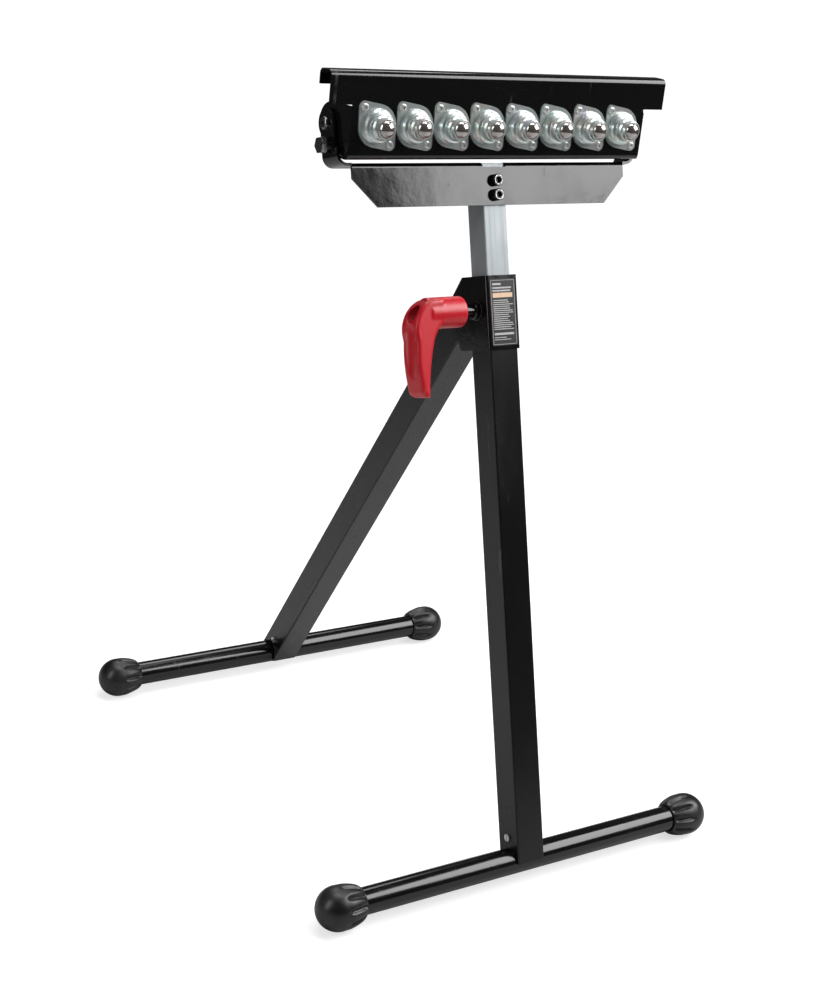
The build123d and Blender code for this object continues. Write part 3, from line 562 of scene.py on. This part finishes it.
# %% Build and run a tree
def new_tree(name, sizes):
    """A geometry tree with a named input for each size; returns a wire and the input wires."""
    tree = bpy.data.node_groups.new(name, "GeometryNodeTree")
    tree.interface.new_socket("Geometry", in_out="OUTPUT", socket_type="NodeSocketGeometry")
    for label, value in sizes.items():
        kind = "NodeSocketInt" if isinstance(value, int) else "NodeSocketFloat"
        tree.interface.new_socket(label, in_out="INPUT", socket_type=kind).default_value = value
    tree.interface.new_socket("Finish", in_out="INPUT", socket_type="NodeSocketMaterial")
    given = tree.nodes.new("NodeGroupInput")
    return Wire(tree), {socket.name: Wire(tree, socket) for socket in given.outputs if socket.name}


def finish_tree(wire, geometry, finish_wire):
    """End a tree: make instances real, set the material and connect the output."""
    real = wire.node("GeometryNodeRealizeInstances", {}, {"Geometry": geometry})
    coloured = wire.node("GeometryNodeSetMaterial", {}, {"Geometry": real, "Material": finish_wire})
    end = wire.tree.nodes.new("NodeGroupOutput")
    wire.tree.links.new(coloured.socket, end.inputs["Geometry"])
    return wire.tree


def grow(tree, material, place_at, **sizes):
    """Run a tree with these sizes and return its result as a plain mesh, moved by a matrix."""
    host = bpy.data.objects.new("host", bpy.data.meshes.new("host"))
    bpy.context.scene.collection.objects.link(host)
    modifier = host.modifiers.new("grow", "NODES")
    modifier.node_group = tree
    for item in tree.interface.items_tree:
        if item.in_out == "INPUT" and item.name == "Finish":
            modifier[item.identifier] = material
        elif item.in_out == "INPUT" and item.name in sizes:
            modifier[item.identifier] = sizes[item.name]
    bpy.context.view_layer.update()
    ready = host.evaluated_get(bpy.context.evaluated_depsgraph_get())
    mesh = bpy.data.meshes.new_from_object(ready)
    bpy.data.objects.remove(host)
    mesh.transform(place_at)
    return mesh


def joined(name, meshes, material, smooth=40):
    """One mesh of several, with doubles merged and faces turned outwards."""
    shape = bmesh.new()
    for mesh in meshes:
        shape.from_mesh(mesh)
    bmesh.ops.remove_doubles(shape, verts=shape.verts, dist=0.001 * mm)
    bmesh.ops.dissolve_degenerate(shape, edges=shape.edges, dist=0.0005 * mm)
    bmesh.ops.recalc_face_normals(shape, faces=shape.faces)
    result = bpy.data.meshes.new(name)
    shape.to_mesh(result)
    shape.free()
    result.materials.clear()
    result.materials.append(material)
    for face in result.polygons:
        face.material_index = 0
    result.shade_smooth()
    result.set_sharp_from_angle(angle=math.radians(smooth))
    print(name, len(result.polygons), "faces")
    return result


print("trees can be grown")

# %% [markdown]
# ## Foot caps
# A foot cap is a bulb turned about the bar's axis, with ten leaf-shaped flutes pressed into its
# sleeve and a small flat where it stands. Carving flutes by hand is slow, and a boolean leaves
# hard edges. A grid bent by a formula gives soft ones: one direction runs along the profile, from
# the bottom of the bore round the lip to the tip, and the other runs round the axis.

# %% The cap's tree
floor_end, bore_end = 0.08, 0.28      # shares of the profile where the bore's floor and wall end
lip_at, crown_at = 0.42, 0.70      # shares where the lip ends and where the crown starts
leaf_blunt, leaf_sharpen = 1.6, 3.4      # a flute's roundness at the mouth, and its taper
ridge_share = 0.14      # how far the ground between flutes stands proud, against their depth
weld_distance = 0.000002
wire, size = new_tree("foot_cap", {
    "Length": 0.0445, "Bore Depth": 0.0315, "Bore Radius": 0.0125, "Mouth Radius": 0.0145,
    "Crown Radius": 0.0205, "Lip": 0.0005, "Flutes": 10, "Flute Depth": 0.0026, "Stand": 0.0201,
    "Steps": 110, "Around": 240})
grid = wire.node("GeometryNodeMeshGrid", {}, {
    "Size X": 1.0, "Size Y": 1.0, "Vertices X": size["Steps"], "Vertices Y": size["Around"]})
spot = wire.node("ShaderNodeSeparateXYZ", {}, {"Vector": wire.node("GeometryNodeInputPosition")})
along = spot + 0.5
around = (Wire(wire.tree, spot.socket.node.outputs["Y"]) + 0.5) * (2 * math.pi)
floor_part = along.clipped(0.0, floor_end)
bore_part = along.clipped(floor_end, bore_end)
lip_part = along.clipped(bore_end, lip_at)
sleeve_part = along.clipped(lip_at, crown_at)
crown_part = along.clipped(crown_at, 1.0) * (math.pi / 2)
lip_curl = wire.maths("SINE", lip_part * math.pi) * size["Lip"]
inner_x = size["Bore Depth"] + (size["Lip"] - size["Bore Depth"]) * bore_part - lip_curl
inner_r = size["Bore Radius"] * floor_part + (size["Mouth Radius"] - size["Bore Radius"]) * lip_part
crown_x = size["Length"] - size["Crown Radius"]
bulge = wire.maths("SQRT", sleeve_part * 2 - sleeve_part * sleeve_part) * 0.35 + (
    sleeve_part * 2 - sleeve_part * sleeve_part) * 0.65
outer_x = (size["Lip"] + sleeve_part * (crown_x - size["Lip"])
           + wire.maths("SINE", crown_part) * size["Crown Radius"])
outer_r = size["Mouth Radius"] + (size["Crown Radius"] - size["Mouth Radius"]) * bulge
leaf = (wire.maths("COSINE", around * size["Flutes"]) * 0.5 + 0.5) ** (
    leaf_blunt + sleeve_part * leaf_sharpen)
fade = sleeve_part.ramped(-0.05, 0.16) * (1 - sleeve_part.ramped(0.70, 1.0)) * (crown_part < 0.01)
groove = leaf * fade * size["Flute Depth"]
ridge = (1 - leaf) * fade * (size["Flute Depth"] * ridge_share)
outer_r = (outer_r - groove + ridge) * wire.maths("COSINE", crown_part)
outside = along > lip_at
radius = inner_r + (outer_r - inner_r) * outside
reach = inner_x + (outer_x - inner_x) * outside
up = wire.maths("COSINE", around) * radius
level = wire.maths("MAXIMUM", up, size["Stand"] * -1)
across = wire.maths("SINE", around) * radius
spread = wire.node("ShaderNodeCombineXYZ", {}, {"X": reach, "Y": across, "Z": level})
bent = wire.node("GeometryNodeSetPosition", {}, {"Geometry": grid, "Position": spread})
welded = wire.node("GeometryNodeMergeByDistance", {}, {
    "Geometry": bent, "Distance": weld_distance})
cap_tree = finish_tree(wire, welded, size["Finish"])
print("cap tree has", len(cap_tree.nodes), "nodes")

# %% Four caps, one for each bar end
for end, body in (("front", "base"), ("rear", "leg")):
    for side, sign in (("left", -1), ("right", 1)):
        node = f"{end}_{side}_foot_cap"
        low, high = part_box(node)
        length = high.x - low.x
        centre = bar_centre if end == "front" else rear_centre
        mouth = high.x if sign < 0 else low.x
        turn = Matrix.Rotation(math.pi if sign < 0 else 0.0, 4, "Z")
        at = Matrix.Translation((mouth, centre.y, centre.z)) @ turn
        bar_end = (bar_high.x - bar_low.x) / 2
        mesh = grow(cap_tree, rubber, at, **{
            "Length": length, "Bore Depth": bar_end - abs(mouth), "Bore Radius": bar_high.z - bar_centre.z,
            "Crown Radius": high.z - centre.z, "Stand": centre.z - low.z})
        piece(node + "_moulded", joined(node, [mesh], rubber), body, "black_rubber", node)

# %% [markdown]
# ## Cap screws
# The two socket screws on the apron are knurled black steel. The knurl is a ring of fine ridges,
# so a circle of points carries one small rod per ridge. The face of the head has lost its black
# where a key has turned it, which reads as a pale ring round the socket.

# %% Find the screws and grow their knurl
def solids_in_post(name):
    """Boxes of a node's separate solids, in the post's frame, lowest first."""
    shape = bmesh.new()
    shape.from_mesh(nodes[name].data)
    bmesh.ops.remove_doubles(shape, verts=shape.verts, dist=0.002 * mm)
    left = set(shape.verts)
    boxes = []
    while left:
        front = [left.pop()]
        island = []
        while front:
            vert = front.pop()
            island.append(to_post @ vert.co)
            for edge in vert.link_edges:
                other = edge.other_vert(vert)
                if other in left:
                    left.discard(other)
                    front.append(other)
        low = Vector([min(p[i] for p in island) for i in range(3)])
        high = Vector([max(p[i] for p in island) for i in range(3)])
        boxes.append((low, high))
    shape.free()
    return sorted(boxes, key=lambda box: (box[0].z, box[0].x))


wire, size = new_tree("knurl", {"Radius": 0.005, "Length": 0.005, "Ridges": 36, "Ridge": 0.00036})
circle = wire.node("GeometryNodeMeshCircle", {}, {"Vertices": size["Ridges"], "Radius": size["Radius"]})
rod = wire.node("GeometryNodeMeshCylinder", {}, {
    "Vertices": 4, "Radius": size["Ridge"], "Depth": size["Length"]})
angle = wire.node("GeometryNodeInputIndex") * (2 * math.pi) / size["Ridges"]
facing = wire.node("ShaderNodeCombineXYZ", {}, {"Z": angle})
ridges = wire.node("GeometryNodeInstanceOnPoints", {}, {
    "Points": circle, "Instance": rod, "Rotation": facing})
knurl_tree = finish_tree(wire, ridges, size["Finish"])

screw_boxes = solids_in_post("apron_screws")
head_length = 6.0 * mm
plain_collar = 1.4 * mm      # the part of a head that carries no knurl
socket_radius = 3.6 * mm
rim_border = 0.6 * mm
rim_height = 0.05
rim_points = 48
apron_face = solids_in_post("yoke")[0][0].y
knurls, rims = [], []
for low, high in screw_boxes:
    centre_z = (low.z + high.z) / 2
    head_radius = (high.x - low.x) / 2
    sideways = Matrix.Rotation(math.pi / 2, 4, "X")
    middle = Matrix.Translation((0, apron_face - head_length / 2, centre_z)) @ sideways
    knurls.append(grow(knurl_tree, oxide, post @ middle,
                       Radius=head_radius, Length=head_length - plain_collar))
    ring = bmesh.new()
    face_y = low.y
    outer = head_radius - rim_border
    inner = socket_radius
    loops = []
    for radius, depth in ((inner, 0.0), (inner, -rim_height), (outer, -rim_height), (outer, 0.0)):
        loops.append([ring.verts.new(post @ Vector((
            radius * math.sin(2 * math.pi * i / rim_points), face_y + depth * mm,
            centre_z + radius * math.cos(2 * math.pi * i / rim_points))))
            for i in range(rim_points)])
    for first, second in zip(loops, loops[1:] + loops[:1]):
        for i in range(rim_points):
            j = (i + 1) % rim_points
            ring.faces.new((first[i], first[j], second[j], second[i]))
    rim = bpy.data.meshes.new("rim")
    ring.to_mesh(rim)
    ring.free()
    rims.append(rim)
piece("apron_screw_knurl", joined("apron_screw_knurl", knurls, oxide, 20), "mast", "black_fastener")
piece("apron_screw_rims", joined("apron_screw_rims", rims, bright_rim), "mast", "black_fastener")

# %% [markdown]
# ## Print on the label
# Rows of short bars stand for the text. Each row is one point of a line; a seeded random width
# stretches a small block, and the same number moves it half its width so that rows start flush.
# The heading, the peach strip, the white bar and the thin border are single rows of chosen size.

# %% Grow the rows of print
wire, size = new_tree("print_rows", {
    "Rows": 12, "Pitch": 0.002, "Shortest": 0.012, "Longest": 0.02, "Height": 0.0008, "Seed": 3})
ink_thickness = 0.05 * mm
drop = wire.node("ShaderNodeCombineXYZ", {}, {"Z": size["Pitch"] * -1})
rows = wire.node("GeometryNodeMeshLine", {}, {"Count": size["Rows"], "Offset": drop})
width = wire.node("FunctionNodeRandomValue", {"data_type": "FLOAT"}, {
    2: size["Shortest"], 3: size["Longest"], "Seed": size["Seed"]}, out=1)
shift = wire.node("ShaderNodeCombineXYZ", {}, {"X": width * 0.5})
flush = wire.node("GeometryNodeSetPosition", {}, {"Geometry": rows, "Offset": shift})
block = wire.node("GeometryNodeMeshCube", {}, {"Size": (1.0, 1.0, 1.0)})
stretch = wire.node("ShaderNodeCombineXYZ", {}, {"X": width, "Y": ink_thickness, "Z": size["Height"]})
bars = wire.node("GeometryNodeInstanceOnPoints", {}, {
    "Points": flush, "Instance": block, "Scale": stretch})
rows_tree = finish_tree(wire, bars, size["Finish"])

label_low, label_high = solids_in_post("label_plate")[0]
margin = 1.2 * mm
left_edge = label_low.x + margin
print_width = label_high.x - label_low.x - 2 * margin


def rows_at(drop_mm, material, inset_mm=1.6, **sizes):
    """Rows of print starting that far below the label's top edge."""
    start = Vector((left_edge + inset_mm * mm, label_low.y - ink_thickness / 2,
                    label_high.z - drop_mm * mm))
    return grow(rows_tree, material, post @ Matrix.Translation(start), **sizes)


def solid_row(drop_mm, height_mm, row_width, material, inset_mm=1.6):
    """One unbroken bar of a chosen width."""
    return rows_at(drop_mm, material, inset_mm,
                   Rows=1, Shortest=row_width, Longest=row_width, Height=height_mm * mm)


full = print_width - 3.2 * mm
white_rows = [
    solid_row(4.6, 1.7, full * 0.42, white_ink),
    rows_at(8.0, white_ink, Rows=2, Pitch=2.6 * mm, Shortest=full * 0.72, Longest=full * 0.95,
            Height=1.4 * mm),
    rows_at(19.2, white_ink, Rows=15, Pitch=1.85 * mm, Shortest=full * 0.66, Longest=full * 0.98,
            Height=0.75 * mm, Seed=8),
    solid_row(49.4, 1.9, full * 0.96, white_ink),
    rows_at(52.6, white_ink, Rows=2, Pitch=1.9 * mm, Shortest=full * 0.35, Longest=full * 0.8,
            Height=0.6 * mm, Seed=5),
]
border_top, border_bottom, border_line = 1.2, 58.8, 0.35      # millimetres down, and wide
for drop_mm in (border_top, border_bottom):
    white_rows.append(solid_row(drop_mm, border_line, print_width, white_ink, 0.0))
for x in (left_edge, left_edge + print_width):
    upright = Matrix.Translation((x, label_low.y - ink_thickness / 2,
                                  label_high.z - border_bottom * mm))
    stand_up = upright @ Matrix.Rotation(-math.pi / 2, 4, "Y")
    tall = (border_bottom - border_top) * mm
    white_rows.append(grow(rows_tree, white_ink, post @ stand_up,
                           Rows=1, Shortest=tall, Longest=tall, Height=border_line * mm))
peach_rows = [solid_row(14.6, 4.2, full * 0.97, peach_ink)]
piece("label_print", joined("label_print", white_rows, white_ink), "base", "label_vinyl")
piece("label_strip", joined("label_strip", peach_rows, peach_ink), "base", "label_vinyl")

# %% [markdown]
# ## Threads
# Bolt ends that stand clear of their nuts show their thread. A spiral curve given a small
# triangular section makes one; it sits on the plain shank of the part.

# %% Threads on the bolt ends
wire, size = new_tree("thread", {"Turns": 5.0, "Radius": 0.004, "Length": 0.005, "Ridge": 0.0003})
spiral = wire.node("GeometryNodeCurveSpiral", {}, {
    "Resolution": 40, "Rotations": size["Turns"], "Start Radius": size["Radius"],
    "End Radius": size["Radius"], "Height": size["Length"]})
section = wire.node("GeometryNodeCurvePrimitiveCircle", {}, {"Resolution": 3, "Radius": size["Ridge"]})
swept = wire.node("GeometryNodeCurveToMesh", {}, {
    "Curve": spiral, "Profile Curve": section, "Fill Caps": True})
thread_tree = finish_tree(wire, swept, size["Finish"])


def thread_on(start, direction, radius_mm, length_mm, pitch_mm, material):
    """A thread that starts at a point of the post's frame and runs along a direction."""
    turn = Vector((0, 0, 1)).rotation_difference(Vector(direction)).to_matrix().to_4x4()
    return grow(thread_tree, material, post @ Matrix.Translation(start) @ turn, Turns=length_mm / pitch_mm,
                Radius=radius_mm * mm, Length=length_mm * mm, Ridge=pitch_mm * 0.3 * mm)


tail = 3.0      # how far a bolt end stands clear, and below how much of it is left plain
plain_tip, root = 0.6, 0.3
mast_threads = []
for low, high in screw_boxes:
    start = (0, high.y - (tail - root) * mm, (low.z + high.z) / 2)
    mast_threads.append(thread_on(start, (0, 1, 0), 2.95, tail - plain_tip, 0.8, oxide))
piece("apron_screw_threads", joined("apron_screw_threads", mast_threads, oxide),
      "mast", "black_fastener")
bolt_low, bolt_high = solids_in_post("hinge_bolt")[0]
bolt_y = (bolt_low.y + bolt_high.y) / 2
bolt_z = (bolt_low.z + bolt_high.z) / 2
end_x = bolt_high.x - (tail - root) * mm
hinge_thread = thread_on((end_x, bolt_y, bolt_z), (1, 0, 0), 3.9, tail - plain_tip, 1.0, fastener)
piece("hinge_bolt_thread", joined("hinge_bolt_thread", [hinge_thread], fastener),
      "base", "zinc_fastener")

# %% [markdown]
# ## Weld bead
# The clamp's nut is welded to the collar. A weld is a row of frozen puddles, so a ring of slightly
# flattened beads of uneven size, half sunk in the corner, gives it.

# %% Grow the bead round the weld nut
wire, size = new_tree("weld_bead", {"Radius": 0.0082, "Beads": 26, "Bead": 0.0012, "Seed": 4})
ring_points = wire.node("GeometryNodeMeshCircle", {}, {
    "Vertices": size["Beads"], "Radius": size["Radius"]})
drop_ball = wire.node("GeometryNodeMeshIcoSphere", {}, {"Radius": size["Bead"], "Subdivisions": 2})
uneven = wire.node("FunctionNodeRandomValue", {"data_type": "FLOAT"}, {
    2: 0.8, 3: 1.15, "Seed": size["Seed"]}, out=1)
scaled = wire.node("ShaderNodeCombineXYZ", {}, {"X": uneven, "Y": uneven, "Z": uneven * 0.8})
beads = wire.node("GeometryNodeInstanceOnPoints", {}, {
    "Points": ring_points, "Instance": drop_ball, "Scale": scaled})
weld_tree = finish_tree(wire, beads, size["Finish"])
nut_low, nut_high = solids_in_post("clamp_weld_nut")[0]
nut_centre = (nut_low + nut_high) / 2
bead_at = Matrix.Translation((nut_high.x - 0.5 * mm, nut_centre.y, nut_centre.z)) @ Matrix.Rotation(
    math.pi / 2, 4, "Y")
bead = grow(weld_tree, sheet_paint, post @ bead_at, Radius=(nut_high.z - nut_low.z) / 2 + 0.2 * mm)
piece("weld_bead", joined("weld_bead", [bead], sheet_paint), "base", "black_paint_sheet")

# %% [markdown]
# ## Floor, light and camera
# Black gloss shows its surroundings more than itself, so the lights are laid out by reflection: a
# large panel in front on the right lights the leaning apron but not the post below it, an overhead
# panel and strip draw the long lines on the bars, and a tall strip on the left edges the lever.
# The floor is mid grey to the object and ends under two metres out, which keeps the upright ball
# plate dark. It glows, and the world is bright, only to the eye of the camera: the pale backdrop
# lights nothing.

# %% The stage
floor_radius = 1.8
floor_grey, floor_glow = 0.5, 0.68
world_seen, world_light = 1.0, 0.05      # brightness to the camera, and to everything else
floor_mesh = bpy.data.meshes.new("floor")
floor_shape = bmesh.new()
bmesh.ops.create_circle(floor_shape, cap_ends=True, segments=96, radius=floor_radius)
floor_shape.to_mesh(floor_mesh)
floor_shape.free()
floor_look = bpy.data.materials.new("pale_floor")
floor_look.use_nodes = True
floor_shader = floor_look.node_tree.nodes["Principled BSDF"]
floor_shader.inputs["Base Color"].default_value = (floor_grey, floor_grey, floor_grey, 1.0)
floor_shader.inputs["Roughness"].default_value = 0.9
floor_wire = Wire(floor_look.node_tree)
looked_at = floor_wire.node("ShaderNodeLightPath", out="Is Camera Ray")
glow = tint(floor_wire, looked_at, (0.0, 0.0, 0.0), (floor_glow, floor_glow, floor_glow))
floor_look.node_tree.links.new(glow.socket, floor_shader.inputs["Emission Color"])
floor_shader.inputs["Emission Strength"].default_value = 1.0
floor_mesh.materials.append(floor_look)
floor = bpy.data.objects.new("floor", floor_mesh)
bpy.context.scene.collection.objects.link(floor)
floor.location = (0.0, 0.0, cad_box[0][2])

world = bpy.data.worlds.new("studio")
bpy.context.scene.world = world
world.use_nodes = True
sky = Wire(world.node_tree)
seen = sky.node("ShaderNodeLightPath", out="Is Camera Ray")
backdrop = world.node_tree.nodes["Background"]
backdrop.inputs["Color"].default_value = (1.0, 1.0, 1.0, 1.0)
world.node_tree.links.new((seen * world_seen + world_light).socket, backdrop.inputs["Strength"])
bpy.context.scene.view_settings.view_transform = "Standard"
print("floor and world are set")


# %% The lights
def panel(name, place_at, look_at, width, height, power):
    """A soft rectangular light that faces a point."""
    data = bpy.data.lights.new(name, "AREA")
    data.shape = "RECTANGLE"
    data.size = width
    data.size_y = height
    data.energy = power
    lamp = bpy.data.objects.new(name, data)
    bpy.context.scene.collection.objects.link(lamp)
    lamp.location = place_at
    lamp.rotation_euler = (Vector(look_at) - Vector(place_at)).to_track_quat("-Z", "Y").to_euler()


heart = Vector((0.0, -0.08, 0.45))


def out_at(turn_degrees, rise_degrees, distance):
    """A point at a bearing from the front towards the right, and a height, from the stand."""
    turn, rise = math.radians(turn_degrees), math.radians(rise_degrees)
    return heart + distance * Vector((
        math.sin(turn) * math.cos(rise), -math.cos(turn) * math.cos(rise), math.sin(rise)))


panel("front_right_panel", out_at(57, 37, 2.2), heart, 1.84, 1.42, 64)
panel("overhead_panel", (0.1, 0.3, 2.5), (0.0, 0.0, 0.3), 1.5, 1.5, 14)
panel("overhead_strip", (0.1, 0.1, 2.45), (0.0, 0.0, 0.3), 1.7, 0.4, 15)
panel("left_strip", out_at(-88, 22, 2.0), heart, 0.5, 1.6, 12)
panel("rear_panel", out_at(160, 40, 2.4), heart, 1.4, 0.8, 14)

# %% The camera
yaw, pitch, roll = (math.radians(a) for a in (34.580, 20.238, 6.010))
camera_place = (-0.9125, -1.3142, 0.8832)
forward = Vector((math.sin(yaw) * math.cos(pitch), math.cos(yaw) * math.cos(pitch), -math.sin(pitch)))
right = Vector((math.cos(yaw), -math.sin(yaw), 0.0))
upward = right.cross(forward)
right_rolled = right * math.cos(roll) + upward * math.sin(roll)
up_rolled = upward * math.cos(roll) - right * math.sin(roll)
lens = bpy.data.cameras.new("camera")
lens.lens = 61.45
lens.sensor_width = 36.0
camera = bpy.data.objects.new("camera", lens)
bpy.context.scene.collection.objects.link(camera)
turned = Matrix((right_rolled, up_rolled, -forward)).transposed().to_4x4()
camera.matrix_world = Matrix.Translation(camera_place) @ turned
bpy.context.scene.camera = camera
print("camera", [round(v, 4) for v in camera.location])
